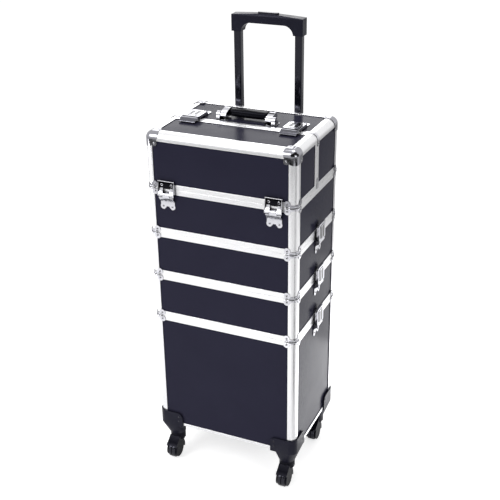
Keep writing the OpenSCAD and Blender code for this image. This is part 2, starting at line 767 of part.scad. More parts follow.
// Top latches: plates on the rear hood, and on the flap the keepers that the rear hood's levers hold
module rear_hood_keepers() color(chrome) for (s = [-1, 1])
  on_top(s * top_latch_x) rotate([0, 0, 180]) top_keeper();
module top_latch_plates() color(chrome) for (s = [-1, 1])
  on_top_latch(s * top_latch_x) latch_plate(bar_face);
module front_flap_shell() hood_shell(-1);
module front_flap_frame() hood_frame(-1);
module front_flap_corners() hood_corners(-1);

// Carry handle
module carry_brackets() color(chrome) on_top(0) for (s = [-1, 1]) translate([s * carry_lug_x, carry_y, 0]) {
  difference() {
    across(carry_lug) {
      translate([0, carry_pivot_w]) circle(carry_rod_r + 4);
      polygon([[-carry_rod_r - 4, carry_pivot_w], [carry_foot_low + 1, -panel_in + 1],
        [carry_foot_low + carry_foot_d - 2, -panel_in + 1], [carry_rod_r + 4, carry_pivot_w]]);
    }
    translate([0, 0, carry_pivot_w]) rotate([0, 90, 0])
      cylinder(r = carry_rod_r + run_gap, h = 4 * carry_lug, center = true);
  }
  translate([-s * carry_foot_off, carry_foot_low + carry_foot_d / 2, -panel_in])
    linear_extrude(sheet_t) soft_rect(carry_foot_w, carry_foot_d, 5);
}
module carry_bail() color(chrome) on_top(0) translate([0, carry_y, 0]) {
  for (s = [-1, 1]) {
    translate([s * carry_arm_x, 0, 0]) across(carry_arm) {
      translate([0, carry_pivot_w]) circle(carry_rod_r + 3);
      translate([carry_swing, carry_grip_w]) circle(carry_end_r);
      polygon([[0, carry_pivot_w + carry_rod_r + 3], [carry_swing, carry_grip_w + carry_end_r],
        [carry_swing, carry_grip_w - carry_end_r], [0, carry_pivot_w - carry_rod_r - 3]]);
    }
    translate([s * carry_lug_x, 0, carry_pivot_w]) rotate([0, 90, 0])
      cylinder(r = carry_rod_r, h = carry_lug + 2, center = true);
  }
  translate([0, carry_swing, carry_grip_w]) rotate([0, 90, 0])
    cylinder(r = carry_rod_r, h = 2 * carry_arm_x, center = true);
}
module carry_grip() color(moulded_black) on_top(0) translate([0, carry_y + carry_swing, carry_grip_w]) {
  difference() {
    across(carry_len) soft_rect(carry_deep, carry_thick, 6);
    rotate([0, 90, 0]) cylinder(r = carry_rod_r + run_gap, h = 2 * carry_len, center = true);
  }
}

// Trolley handle
module trolley_outer_tubes() color(gloss_black) {
  leg_pair(outer_w, outer_d, outer_bottom, outer_top - collar_h);
  leg_collars(outer_w, outer_d, outer_top - collar_h);
}
module trolley_mid_tubes() color(gloss_black) {
  leg_pair(mid_w, mid_d, outer_top - leg_overlap, mid_top - collar_h);
  leg_collars(mid_w, mid_d, mid_top - collar_h);
}
module trolley_inner_tubes() color(gloss_black)
  leg_pair(leg_w, leg_d, mid_top - leg_overlap, socket_z + socket_deep);
module trolley_mounts() color(moulded_black) {
  y_panel = case_d / 2 - panel_in;
  for (z = [outer_bottom - mount_wall, seam1 - strip_face - mount_h - 2]) difference() {
    union() {
      translate([-leg_pitch / 2 - outer_w, y_panel, z])
        cube([leg_pitch + 2 * outer_w, leg_y - outer_d / 2 - y_panel - fit_gap, mount_h]);
      for (s = [-1, 1]) translate([s * leg_pitch / 2, (y_panel + leg_y + outer_d / 2 + mount_wall) / 2, z])
        linear_extrude(mount_h)
          soft_rect(outer_w + 2 * mount_wall, leg_y + outer_d / 2 + mount_wall - y_panel, 4);
    }
    for (s = [-1, 1]) translate([s * leg_pitch / 2, leg_y, outer_bottom])
      linear_extrude(base_h) soft_rect(outer_w + 2 * fit_gap, outer_d + 2 * fit_gap, leg_r);
  }
}

// Outline of the trolley grip seen from the front
module grip_outline() {
  r = 8;
  crown = 4;
  crown_r = (grip_w * grip_w / 4 + crown * crown) / (2 * crown);
  arch_r = 22;
  low = socket_z;
  high = grip_top - button_proud;
  arch_top = grip_top - grip_h;
  inner = leg_pitch / 2 - leg_w / 2 - 2.5;
  difference() {
    intersection() {
      union() {
        translate([-grip_w / 2, low]) square([grip_w, high - low - r]);
        translate([-grip_w / 2 + r, low]) square([grip_w - 2 * r, high - low]);
        for (s = [-1, 1]) translate([s * (grip_w / 2 - r), high - r]) circle(r);
      }
      translate([0, high - crown_r]) circle(crown_r);
    }
    translate([arch_r - inner, low - 1]) square([2 * (inner - arch_r), arch_top - low + 1]);
    for (s = [-1, 1]) translate([s * (inner - arch_r), arch_top - arch_r]) circle(arch_r);
  }
}

// Grip with its tube sockets and the pocket of the push button
module trolley_grip() color(moulded_black) translate([0, leg_y, 0]) difference() {
  intersection() {
    rotate([90, 0, 0]) linear_extrude(grip_d, center = true) grip_outline();
    translate([0, 0, socket_z]) rotate([90, 0, 90]) linear_extrude(2 * grip_w, center = true) {
      translate([-grip_d / 2, 0]) square([grip_d, socket_h - 9]);
      translate([0, socket_h - 11]) soft_rect(grip_d, 2 * (11 - button_proud), 8);
    }
  }
  for (s = [-1, 1]) translate([s * leg_pitch / 2, 0, socket_z - 1])
    linear_extrude(socket_deep + 1 + fit_gap) soft_rect(leg_w + 2 * fit_gap, leg_d + 2 * fit_gap, leg_r);
  for (s = [-1, 1]) translate([s * leg_pitch / 2, 0, socket_z])
    cylinder(r = rod_r + 1.5, h = yoke_z - socket_z + 1);
  translate([0, 0, yoke_z - button_travel - stop_gap + (yoke_h + button_travel + 2 * stop_gap) / 2])
    cube([leg_pitch + 4 * rod_r, yoke_w + 2, yoke_h + button_travel + 2 * stop_gap], center = true);
  translate([0, 0, pocket_z - button_travel - stop_gap]) linear_extrude(socket_h)
    soft_rect(button_len + 2 * button_gap, button_w + 2 * button_gap, button_w / 2);
}
module release_button() color(gloss_black) translate([0, leg_y, pocket_z])
  linear_extrude(grip_top - pocket_z) soft_rect(button_len, button_w, button_w / 2 - 0.1);

// Yoke under the button and the two rods inside the legs
module release_rods() color(chrome) translate([0, leg_y, 0]) {
  rod_low = mid_top - leg_overlap + 4;
  translate([0, 0, yoke_z + yoke_h / 2]) cube([leg_pitch + 3 * rod_r, yoke_w, yoke_h], center = true);
  for (s = [-1, 1]) translate([s * leg_pitch / 2, 0, rod_low])
    cylinder(r = rod_r, h = yoke_z + 1 - rod_low);
}

placed() base_shell();
placed() base_frame();
placed() base_corners();
placed() base_latch_plates();
placed() caster_brackets();
placed() trolley_outer_tubes();
placed() trolley_mounts();
placed() tray_lower_shell();
placed() tray_lower_frame();
placed() tray_lower_corners();
placed() tray_lower_keepers();
placed() tray_lower_latch_plates();
placed() tray_upper_shell();
placed() tray_upper_frame();
placed() tray_upper_corners();
placed() tray_upper_keepers();
placed() tray_upper_latch_plates();
placed() top_tray_shell();
placed() top_tray_frame();
placed() top_tray_corners();
placed() top_tray_keepers();
placed() hinge_lower_leaves();
placed() hinge_pins();
placed() rear_hood_shell();
placed() rear_hood_frame();
placed() rear_hood_corners();
placed() rear_hood_keepers();
placed() carry_brackets();
placed() carry_bail();
placed() carry_grip();
placed() front_flap_shell();
placed() front_flap_frame();
placed() front_flap_corners();
placed() hinge_upper_leaves();
placed() top_latch_plates();
placed() color(chrome) on_top_latch(-top_latch_x) latch_lever(false);  // top_latch_lever_left
placed() color(chrome) on_top_latch(top_latch_x) latch_lever(false);  // top_latch_lever_right
placed() color(chrome) on_side(-1, seam1) latch_lever(true);  // side_latch_lever_left_low
placed() color(chrome) on_side(1, seam1) latch_lever(true);  // side_latch_lever_right_low
placed() color(chrome) on_side(-1, seam2) latch_lever(true);  // side_latch_lever_left_mid
placed() color(chrome) on_side(1, seam2) latch_lever(true);  // side_latch_lever_right_mid
placed() color(chrome) on_side(-1, seam3) latch_lever(true);  // side_latch_lever_left_high
placed() color(chrome) on_side(1, seam3) latch_lever(true);  // side_latch_lever_right_high
placed() trolley_mid_tubes();
placed() trolley_inner_tubes();
placed() trolley_grip();
placed() release_button();
placed() release_rods();
placed() at_caster(-1, -1) caster_fork();  // caster_fork_fl
placed() at_caster(1, -1) caster_fork();  // caster_fork_fr
placed() at_caster(-1, 1) caster_fork();  // caster_fork_rl
placed() at_caster(1, 1) caster_fork();  // caster_fork_rr
placed() at_caster(-1, -1) caster_wheel();  // caster_wheel_fl
placed() at_caster(1, -1) caster_wheel();  // caster_wheel_fr
placed() at_caster(-1, 1) caster_wheel();  // caster_wheel_rl
placed() at_caster(1, 1) caster_wheel();  // caster_wheel_rr
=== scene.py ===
"""Looks of the rolling makeup case: materials, small fasteners, soft grip, studio and camera."""

import json
import math

import bmesh
import bpy
from mathutils import Matrix, Vector


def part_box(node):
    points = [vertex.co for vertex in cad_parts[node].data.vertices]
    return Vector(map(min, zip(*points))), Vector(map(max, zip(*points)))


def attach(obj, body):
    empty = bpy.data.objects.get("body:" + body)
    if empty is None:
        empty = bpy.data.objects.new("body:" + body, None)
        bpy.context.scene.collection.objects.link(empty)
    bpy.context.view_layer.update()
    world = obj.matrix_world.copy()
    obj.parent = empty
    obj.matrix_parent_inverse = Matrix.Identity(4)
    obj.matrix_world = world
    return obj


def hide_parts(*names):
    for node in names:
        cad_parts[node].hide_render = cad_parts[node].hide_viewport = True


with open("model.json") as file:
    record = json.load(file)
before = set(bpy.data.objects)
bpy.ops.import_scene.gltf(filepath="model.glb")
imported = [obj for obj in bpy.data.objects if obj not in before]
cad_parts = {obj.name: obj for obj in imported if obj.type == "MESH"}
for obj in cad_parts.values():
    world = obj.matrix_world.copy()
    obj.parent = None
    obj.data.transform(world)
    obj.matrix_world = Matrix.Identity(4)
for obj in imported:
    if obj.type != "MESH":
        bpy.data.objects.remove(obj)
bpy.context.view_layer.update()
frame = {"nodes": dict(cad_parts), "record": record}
scene = bpy.context.scene
MM = 0.001
SIDES = (-1, 1)
BOTH_ENDS = (-1, 1)
FRONT_END = (-1,)
REAR_END = (1,)
QUARTER_TURN = [math.radians(degrees) for degrees in range(0, 91, 10)]

# Places read from the boxes of the nodes
base_low, base_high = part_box("base_frame")
HALF_W = base_high.x
FRONT_Y = base_low.y
REAR_Y = base_high.y
MID_Y = (FRONT_Y + REAR_Y) / 2
HALF_D = (REAR_Y - FRONT_Y) / 2
FRAMES_ABOVE_SEAMS = ("tray_lower_frame", "tray_upper_frame", "top_tray_frame", "front_flap_frame")
SEAMS = [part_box(name)[0].z for name in FRAMES_ABOVE_SEAMS]
TRAY_PITCH = SEAMS[1] - SEAMS[0]
hood_low, hood_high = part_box("rear_hood_frame")
HOOD_TOP = hood_high.z
SPLIT_Y = hood_low.y


# Shader helpers, and the numbers of the Mix node's sockets for colours and for values
MIX_COLOR_INPUTS = (6, 7)
MIX_COLOR_OUTPUT = 2
MIX_VALUE_INPUTS = (2, 3)


def new_material(name, color, metallic, roughness):
    """A material with one Principled shader, and its tree, shader and object coordinates."""
    mat = bpy.data.materials.new(name)
    mat.use_nodes = True
    tree = mat.node_tree
    shader = tree.nodes["Principled BSDF"]
    shader.inputs["Base Color"].default_value = (*color, 1)
    shader.inputs["Metallic"].default_value = metallic
    shader.inputs["Roughness"].default_value = roughness
    coords = tree.nodes.new("ShaderNodeTexCoord").outputs["Object"]
    return mat, tree, shader, coords


def axes_of(tree, vector):
    """The three parts of a vector."""
    node = tree.nodes.new("ShaderNodeSeparateXYZ")
    tree.links.new(vector, node.inputs[0])
    return node.outputs


def facing_of(tree):
    """The three parts of the surface's normal in the object's own axes."""
    return axes_of(tree, tree.nodes.new("ShaderNodeTexCoord").outputs["Normal"])


def set_or_link(tree, socket, source):
    """Sets a socket from a number or links it to another socket."""
    if isinstance(source, (int, float)):
        socket.default_value = source
    else:
        tree.links.new(source, socket)


def math_node(tree, operation, *sources):
    node = tree.nodes.new("ShaderNodeMath")
    node.operation = operation
    for socket, source in zip(node.inputs, sources):
        set_or_link(tree, socket, source)
    return node.outputs[0]


def within(tree, source, middle, half):
    """One where a value lies within half of the middle, and zero elsewhere."""
    offset = math_node(tree, "ABSOLUTE", math_node(tree, "SUBTRACT", source, middle))
    return math_node(tree, "LESS_THAN", offset, half)


def noise(tree, coords, scale, detail=2.0, rough=0.5):
    node = tree.nodes.new("ShaderNodeTexNoise")
    node.inputs["Scale"].default_value = scale
    node.inputs["Detail"].default_value = detail
    node.inputs["Roughness"].default_value = rough
    tree.links.new(coords, node.inputs["Vector"])
    return node.outputs["Fac"]


def streaks(tree, coords, scale):
    """Noise with a scale of its own along each axis."""
    node = tree.nodes.new("ShaderNodeMapping")
    node.inputs["Scale"].default_value = scale
    tree.links.new(coords, node.inputs["Vector"])
    return noise(tree, node.outputs[0], scale=1, detail=3)


def cells(tree, coords, scale):
    node = tree.nodes.new("ShaderNodeTexVoronoi")
    node.inputs["Scale"].default_value = scale
    tree.links.new(coords, node.inputs["Vector"])
    return node.outputs["Distance"]


def remap(tree, source, low, high, from_low=0.3, from_high=0.7):
    node = tree.nodes.new("ShaderNodeMapRange")
    node.inputs["From Min"].default_value = from_low
    node.inputs["From Max"].default_value = from_high
    node.inputs["To Min"].default_value = low
    node.inputs["To Max"].default_value = high
    tree.links.new(source, node.inputs["Value"])
    return node.outputs["Result"]


def mix_color(tree, factor, first, second):
    """Mix of two colours, each a tuple or a socket."""
    node = tree.nodes.new("ShaderNodeMix")
    node.data_type = "RGBA"
    tree.links.new(factor, node.inputs[0])
    for number, source in zip(MIX_COLOR_INPUTS, (first, second)):
        if isinstance(source, tuple):
            node.inputs[number].default_value = (*source, 1)
        else:
            tree.links.new(source, node.inputs[number])
    return node.outputs[MIX_COLOR_OUTPUT]


def mix_value(tree, factor, first, second):
    """Mix of two values, each a number or a socket."""
    node = tree.nodes.new("ShaderNodeMix")
    tree.links.new(factor, node.inputs[0])
    for number, source in zip(MIX_VALUE_INPUTS, (first, second)):
        set_or_link(tree, node.inputs[number], source)
    return node.outputs[0]


def bump(tree, shader, height, distance, strength):
    node = tree.nodes.new("ShaderNodeBump")
    node.inputs["Strength"].default_value = strength
    node.inputs["Distance"].default_value = distance
    tree.links.new(height, node.inputs["Height"])
    tree.links.new(node.outputs["Normal"], shader.inputs["Normal"])


# Colours
COOL_TINT = (0.8, 0.8, 1, 1)
LAMINATE = (0.021, 0.0205, 0.0365)
LAMINATE_DARK = (0.019, 0.0185, 0.033)
LAMINATE_LIGHT = (0.023, 0.0225, 0.040)
FELT_DARK = (0.016, 0.016, 0.018)
FELT_LIGHT = (0.034, 0.034, 0.037)
DRAWN = (0.86, 0.86, 0.875)
DRAWN_DARK = (0.84, 0.84, 0.86)
DRAWN_LIGHT = (0.89, 0.89, 0.9)
PLATE = (0.6, 0.6, 0.64)
PLATE_BRIGHT = (0.64, 0.64, 0.68)
# Painted shade of the plating in corners, gaps and darkened spots
PLATE_PAINTED_SHADE = (0.012, 0.012, 0.015)
# Painted dark reflection: brightest tone of the darker plate on the lid's corner caps
LID_CAP_PAINTED_DARK = (0.34, 0.34, 0.37)
# Painted shade: brightest tone of the darker plate on the keepers
KEEPER_PAINTED_SHADE = (0.14, 0.14, 0.16)

# Limits of place and normal that tell the faces of a node apart
INWARD_LIMIT = -0.02
LID_ROOF = HOOD_TOP - 50 * MM
LEVEL_LIMIT = 0.5
SQUARE_LIMIT = 0.9
# Size and place of the painted shade strips on the latch levers
STRIP_FACE = 11.2 * MM
LEVER_SHADE_OUT = 5.9 * MM
LEVER_SHADE_HALF = 4.2 * MM
LEVER_SHADE_LONG = 14 * MM
LEVER_SHADE_SHIFT = 2 * MM
HINGE_PAN_DEPTH = 2.5 * MM

# Optical values, and how far painted shade reaches from a corner or gap into the plating
PANEL_IOR = 1.12
FELT_ROUGHNESS = 0.92
STEEL_BLUE = 1.04
PAINTED_SHADE_REACH = 9 * MM


def panel_material():
    """Black textured laminate outside and dark felt on the inner faces."""
    mat, tree, shader, coords = new_material("panel_laminate", LAMINATE, metallic=0, roughness=0.2)
    shader.inputs["IOR"].default_value = PANEL_IOR
    shader.inputs["Specular Tint"].default_value = COOL_TINT
    x, y, z = axes_of(tree, coords)
    facing_x, facing_y, facing_z = facing_of(tree)
    centred_y = math_node(tree, "SUBTRACT", y, MID_Y)
    out_x = math_node(tree, "MULTIPLY", x, facing_x)
    out_y = math_node(tree, "MULTIPLY", centred_y, facing_y)
    inward = math_node(tree, "LESS_THAN", math_node(tree, "ADD", out_x, out_y), INWARD_LIMIT)
    below = math_node(tree, "LESS_THAN", z, LID_ROOF)
    above = math_node(tree, "GREATER_THAN", z, LID_ROOF)
    faces_up = math_node(tree, "GREATER_THAN", facing_z, LEVEL_LIMIT)
    faces_down = math_node(tree, "LESS_THAN", facing_z, -LEVEL_LIMIT)
    floor_top = math_node(tree, "MULTIPLY", faces_up, below)
    ceiling = math_node(tree, "MULTIPLY", faces_down, above)
    lining = math_node(tree, "MAXIMUM", inward, math_node(tree, "MAXIMUM", floor_top, ceiling))
    grain = math_node(tree, "ADD", noise(tree, coords, scale=1100), cells(tree, coords, scale=900))
    felt = noise(tree, coords, scale=2600, detail=4, rough=0.7)
    patches = noise(tree, coords, scale=9, detail=3)
    tone = mix_color(tree, patches, LAMINATE_DARK, LAMINATE_LIGHT)
    fuzz = mix_color(tree, felt, FELT_DARK, FELT_LIGHT)
    tree.links.new(mix_color(tree, lining, tone, fuzz), shader.inputs["Base Color"])
    satin = remap(tree, noise(tree, coords, scale=26, detail=3), low=0.16, high=0.23)
    tree.links.new(mix_value(tree, lining, satin, FELT_ROUGHNESS), shader.inputs["Roughness"])
    bump(tree, shader, mix_value(tree, lining, grain, felt), distance=0.00005, strength=0.35)
    return mat


def aluminium_material():
    """Satin drawn aluminium: fine streaks along the strips and along the posts."""
    mat, tree, shader, coords = new_material("drawn_aluminium", DRAWN, metallic=1, roughness=0.3)
    height = axes_of(tree, coords)[2]
    level = math_node(tree, "SUBTRACT", height, SEAMS[0] - TRAY_PITCH / 2)
    in_tray = math_node(tree, "MODULO", level, TRAY_PITCH)
    on_strip = within(tree, in_tray, TRAY_PITCH / 2, STRIP_FACE)
    above_base = math_node(tree, "GREATER_THAN", height, SEAMS[0] - STRIP_FACE)
    strip = math_node(tree, "MULTIPLY", on_strip, above_base)
    along_strip = streaks(tree, coords, (30, 30, 4000))
    along_post = streaks(tree, coords, (2600, 2600, 30))
    drawing = mix_value(tree, strip, along_post, along_strip)
    tree.links.new(remap(tree, drawing, low=0.24, high=0.36), shader.inputs["Roughness"])
    tint = remap(tree, noise(tree, coords, scale=14, detail=3), low=0.35, high=0.65)
    tree.links.new(mix_color(tree, tint, DRAWN_DARK, DRAWN_LIGHT), shader.inputs["Base Color"])
    bump(tree, shader, drawing, distance=0.00002, strength=0.25)
    return mat


def painted_shade_on_side_levers(tree, place, facing):
    """Painted shade of pressed slots: dark strips beside the middle of every side lever's outer face."""
    low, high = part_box("side_latch_lever_right_low")
    from_middle = math_node(tree, "SUBTRACT", place[1], (low.y + high.y) / 2)
    across = within(tree, math_node(tree, "ABSOLUTE", from_middle), LEVER_SHADE_OUT, LEVER_SHADE_HALF)
    up = math_node(tree, "MODULO", math_node(tree, "SUBTRACT", place[2], low.z), TRAY_PITCH)
    along = within(tree, up, (high.z - low.z) / 2 + LEVER_SHADE_SHIFT, LEVER_SHADE_LONG)
    outer = math_node(tree, "GREATER_THAN", math_node(tree, "ABSOLUTE", facing[0]), SQUARE_LIMIT)
    return math_node(tree, "MULTIPLY", math_node(tree, "MULTIPLY", across, along), outer)


def painted_shade_on_top_levers(tree, place, facing):
    """The same painted shade strips on both top levers."""
    low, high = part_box("top_latch_lever_right")
    beside = math_node(tree, "ABSOLUTE", place[0])
    from_middle = math_node(tree, "SUBTRACT", beside, (low.x + high.x) / 2)
    across = within(tree, math_node(tree, "ABSOLUTE", from_middle), LEVER_SHADE_OUT, LEVER_SHADE_HALF)
    along = within(tree, place[1], (low.y + high.y) / 2 - LEVER_SHADE_SHIFT, LEVER_SHADE_LONG)
    outer = math_node(tree, "GREATER_THAN", facing[2], SQUARE_LIMIT)
    return math_node(tree, "MULTIPLY", math_node(tree, "MULTIPLY", across, along), outer)


def painted_shade_on_hinge_pans(tree, place, facing):
    """Painted shade on the floors of both hinge pans, behind their raised borders."""
    sunk = math_node(tree, "GREATER_THAN", place[1], FRONT_Y - HINGE_PAN_DEPTH)
    outer = math_node(tree, "LESS_THAN", facing[1], -SQUARE_LIMIT)
    return math_node(tree, "MULTIPLY", sunk, outer)


def chrome_material(name, painted_shade_spots=None, bright=PLATE_BRIGHT):
    """Plated steel with faint handling marks, and painted shade in its corners, its gaps and the spots
    given.
    """
    mat, tree, shader, coords = new_material(name, PLATE, metallic=1, roughness=0.1)
    # Painted shade: ambient occlusion darkens the plate in its corners and gaps
    corners = tree.nodes.new("ShaderNodeAmbientOcclusion")
    corners.samples = 8
    corners.inputs["Distance"].default_value = PAINTED_SHADE_REACH
    lit_share = remap(tree, corners.outputs["AO"], low=0, high=1, from_low=0.5, from_high=0.95)
    if painted_shade_spots:
        spots = painted_shade_spots(tree, axes_of(tree, coords), facing_of(tree))
        lit_share = math_node(tree, "SUBTRACT", lit_share, spots)
    tree.links.new(mix_color(tree, lit_share, PLATE_PAINTED_SHADE, bright), shader.inputs["Base Color"])
    smudge = noise(tree, coords, scale=60, detail=4, rough=0.6)
    tree.links.new(remap(tree, smudge, low=0.07, high=0.17), shader.inputs["Roughness"])
    ripple = noise(tree, coords, scale=420)
    bump(tree, shader, ripple, distance=0.00004, strength=0.3)
    return mat


def black_material(name, color, roughness, specular):
    """A material with cool reflections for paint and mouldings, and its parts."""
    mat, tree, shader, coords = new_material(name, color, metallic=0, roughness=roughness)
    shader.inputs["Specular IOR Level"].default_value = specular
    shader.inputs["Specular Tint"].default_value = COOL_TINT
    return mat, tree, shader, coords


def add_marks(tree, shader, marks, color, lightest, smoothest, roughest):
    """Lets marks lighten a colour and vary the roughness between two values."""
    tree.links.new(remap(tree, marks, low=smoothest, high=roughest), shader.inputs["Roughness"])
    shade = tuple(part * lightest for part in color)
    tree.links.new(mix_color(tree, marks, color, shade), shader.inputs["Base Color"])


def paint_material(name, color, roughness, peel_scale, specular):
    """Gloss black paint or plastic with a slight orange peel."""
    mat, tree, shader, coords = black_material(name, color, roughness, specular)
    peel = noise(tree, coords, scale=peel_scale)
    marks = noise(tree, coords, scale=45, detail=4, rough=0.6)
    add_marks(tree, shader, marks, color, lightest=1.35,
              smoothest=roughness * 0.8, roughest=roughness * 1.3)
    bump(tree, shader, peel, distance=0.00003, strength=0.25)
    return mat


def moulded_material(name, color, roughness, grain_scale, depth, specular):
    """Moulded black plastic or vinyl with a fine pebbled grain."""
    mat, tree, shader, coords = black_material(name, color, roughness, specular)
    grain = cells(tree, coords, scale=grain_scale)
    wear = noise(tree, coords, scale=35, detail=4, rough=0.6)
    add_marks(tree, shader, wear, color, lightest=1.5,
              smoothest=roughness * 0.85, roughest=roughness * 1.15)
    bump(tree, shader, grain, distance=depth, strength=0.5)
    return mat


def steel_material(name, shade):
    """Drawn steel of the release rods and rivet stems, with streaks along its length."""
    color = (shade, shade, STEEL_BLUE * shade)
    mat, tree, shader, coords = new_material(name, color, metallic=1, roughness=0.32)
    drawing = streaks(tree, coords, (3000, 3000, 40))
    tree.links.new(remap(tree, drawing, low=0.25, high=0.42), shader.inputs["Roughness"])
    return mat


PANEL = panel_material()
ALUMINIUM = aluminium_material()
CHROME = chrome_material("bright_plate")
# Lever plates with painted shade strips
SIDE_LEVER_PLATE_SHADED = chrome_material("side_lever_plate_painted_shade", painted_shade_on_side_levers)
TOP_LEVER_PLATE_SHADED = chrome_material("top_lever_plate_painted_shade", painted_shade_on_top_levers)
# Hinge leaves with painted shade on their pan floors
HINGE_PAN = chrome_material("hinge_pan_plate_painted_shade", painted_shade_on_hinge_pans)
# Darker copy of the plate: painted dark reflection on the lid's corner caps
LID_CAP = chrome_material("lid_cap_plate_painted_reflection", bright=LID_CAP_PAINTED_DARK)
# Darker copy of the plate: painted shade on the keepers
KEEPER = chrome_material("keeper_plate_painted_shade", bright=KEEPER_PAINTED_SHADE)
TUBE = paint_material("gloss_black_tube", (0.003, 0.003, 0.005),
                      roughness=0.12, peel_scale=300, specular=0.5)
BUTTON = paint_material("gloss_black_button", (0.005, 0.005, 0.006),
                        roughness=0.16, peel_scale=500, specular=0.4)
MOULDING = moulded_material("moulded_black", (0.007, 0.007, 0.013),
                            roughness=0.36, grain_scale=1500, depth=0.00004, specular=0.16)
GRIP_PAD = moulded_material("grip_vinyl", (0.002, 0.002, 0.003),
                            roughness=0.26, grain_scale=700, depth=0.00008, specular=0.08)
FORK = moulded_material("fork_black", (0.003, 0.003, 0.0055),
                        roughness=0.28, grain_scale=1500, depth=0.00003, specular=0.09)
WHEEL = paint_material("gloss_black_wheel", (0.003, 0.003, 0.004),
                       roughness=0.08, peel_scale=400, specular=0.5)
STEEL = steel_material("drawn_steel", shade=0.5)
# Near-black copy of drawn steel for the rivet stems: painted shade in the rivet's hollow
STEM = steel_material("rivet_stem_painted_shade", shade=0.05)

# Material and width of the rounded edges in millimetres for each slot
FINISH_BY_SLOT = {
    "panel": (PANEL, 0.2),
    "edge_profile": (ALUMINIUM, 0.6),
    "plated": (CHROME, 0.35),
    "leg_tube": (TUBE, 0.3),
    "moulding": (MOULDING, 0.8),
    "grip_pad": (GRIP_PAD, 1.0),
    "button": (BUTTON, 0.8),
    "rod": (STEEL, 0.2),
    "wheel": (WHEEL, 1.6),
}

# Materials that come before the slot's, by the start of a node's name
MATERIAL_BY_NAME = {
    "side_latch_lever": SIDE_LEVER_PLATE_SHADED,
    "top_latch_lever": TOP_LEVER_PLATE_SHADED,
    "caster_fork": FORK,
    "hinge_upper_leaves": HINGE_PAN,
    "front_flap_corners": LID_CAP,
    "rear_hood_corners": LID_CAP,
    "rear_hood_keepers": KEEPER,
}
WELD_REACH = 0.002 * MM
FLAT_ANGLE = math.radians(0.5)
EDGE_ANGLE = math.radians(32)
STRAP_EDGE_ANGLE = math.radians(30)


def soften(obj, width, angle):
    """Rounds the edges of an object that are sharper than an angle."""
    soft = obj.modifiers.new("soft_edges", "BEVEL")
    soft.width = width
    soft.segments = 2
    soft.limit_method = "ANGLE"
    soft.angle_limit = angle
    soft.harden_normals = True


def dress_node(name, slot):
    """Gives a node its material and softly rounded edges."""
    obj = frame["nodes"][name]
    material, edge_width = FINISH_BY_SLOT[slot]
    for start, own_material in MATERIAL_BY_NAME.items():
        if name.startswith(start):
            material = own_material
    obj.data.materials.clear()
    obj.data.materials.append(material)
    if "custom_normal" in obj.data.attributes:
        obj.data.attributes.remove(obj.data.attributes["custom_normal"])
    obj.data.shade_smooth()
    weld = obj.modifiers.new("weld", "WELD")
    weld.merge_threshold = WELD_REACH
    flat = obj.modifiers.new("flat_faces", "DECIMATE")
    flat.decimate_type = "DISSOLVE"
    flat.angle_limit = FLAT_ANGLE
    soften(obj, edge_width * MM, EDGE_ANGLE)


for part in frame["record"]["subparts"]:
    dress_node(part["node"], part["material_slot"])


# Mesh helpers
LATHE_STEPS = 20
DOME_STEP = 15
HEAD_SINK = 0.3 * MM
RIVET_DOME_REACH = 75
STEM_RADIUS_SHARE = 0.58
STEM_EDGE_SHARE = 0.75
STEM_MIDDLE_SHARE = 0.7


def finish_mesh(name, bm, material, body):
    """Turns a bmesh into a smooth-shaded piece that rides on a body."""
    bmesh.ops.recalc_face_normals(bm, faces=bm.faces)
    mesh = bpy.data.meshes.new(name)
    bm.to_mesh(mesh)
    bm.free()
    mesh.shade_smooth()
    mesh.materials.append(material)
    obj = bpy.data.objects.new(name, mesh)
    scene.collection.objects.link(obj)
    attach(obj, body)
    return obj


def add_skin(bm, rings):
    """Adds faces between the rings of a row of equal rings, and at both of its ends."""
    count = len(rings[0])
    for first, second in zip(rings, rings[1:]):
        for i in range(count):
            following = (i + 1) % count
            bm.faces.new((first[i], first[following], second[following], second[i]))
    bm.faces.new(rings[0])
    bm.faces.new(rings[-1])


def full_turn(steps):
    """Equal angles round a circle."""
    return [2 * math.pi * i / steps for i in range(steps)]


def add_lathe(bm, matrix, profile, dark_rings=0):
    """Adds a solid of revolution about Z from (radius, height) points.

    The faces of its last rings take the second material.
    """
    rings = []
    for radius, height in profile:
        turns = full_turn(LATHE_STEPS) if radius else [0]
        points = [Vector((radius * math.cos(a), radius * math.sin(a), height)) for a in turns]
        rings.append([bm.verts.new(matrix @ point) for point in points])
    first_dark = len(rings) - 1 - dark_rings
    for ring, (lower, upper) in enumerate(zip(rings, rings[1:])):
        for i in range(LATHE_STEPS):
            quad = [lower[i % len(lower)], lower[(i + 1) % len(lower)],
                    upper[(i + 1) % len(upper)], upper[i % len(upper)]]
            corners = list(dict.fromkeys(quad))
            bm.faces.new(corners).material_index = int(ring >= first_dark)


def dome(radius, height, reach=90):
    """Profile of a domed head that starts a little below its seat and curves in to an angle."""
    angles = [math.radians(degrees) for degrees in range(0, reach, DOME_STEP)]
    arc = [(radius * math.cos(a), height * math.sin(a)) for a in angles]
    return [(0, -HEAD_SINK), (radius, -HEAD_SINK)] + arc


def face_frame(origin, across, up):
    """Matrix of a face's own frame: X across, Y up the face, Z outwards."""
    x = Vector(across)
    y = Vector(up)
    z = x.cross(y)
    return Matrix.Translation(origin) @ Matrix((x, y, z)).transposed().to_4x4()


def side_face(side, z):
    return face_frame((side * HALF_W, MID_Y, z), (0, side, 0), (0, 0, 1))


def front_face(z):
    return face_frame((0, FRONT_Y, z), (1, 0, 0), (0, 0, 1))


def rear_face(z):
    return face_frame((0, REAR_Y, z), (-1, 0, 0), (0, 0, 1))


def top_face():
    return face_frame((0, MID_Y, HOOD_TOP), (1, 0, 0), (0, 1, 0))


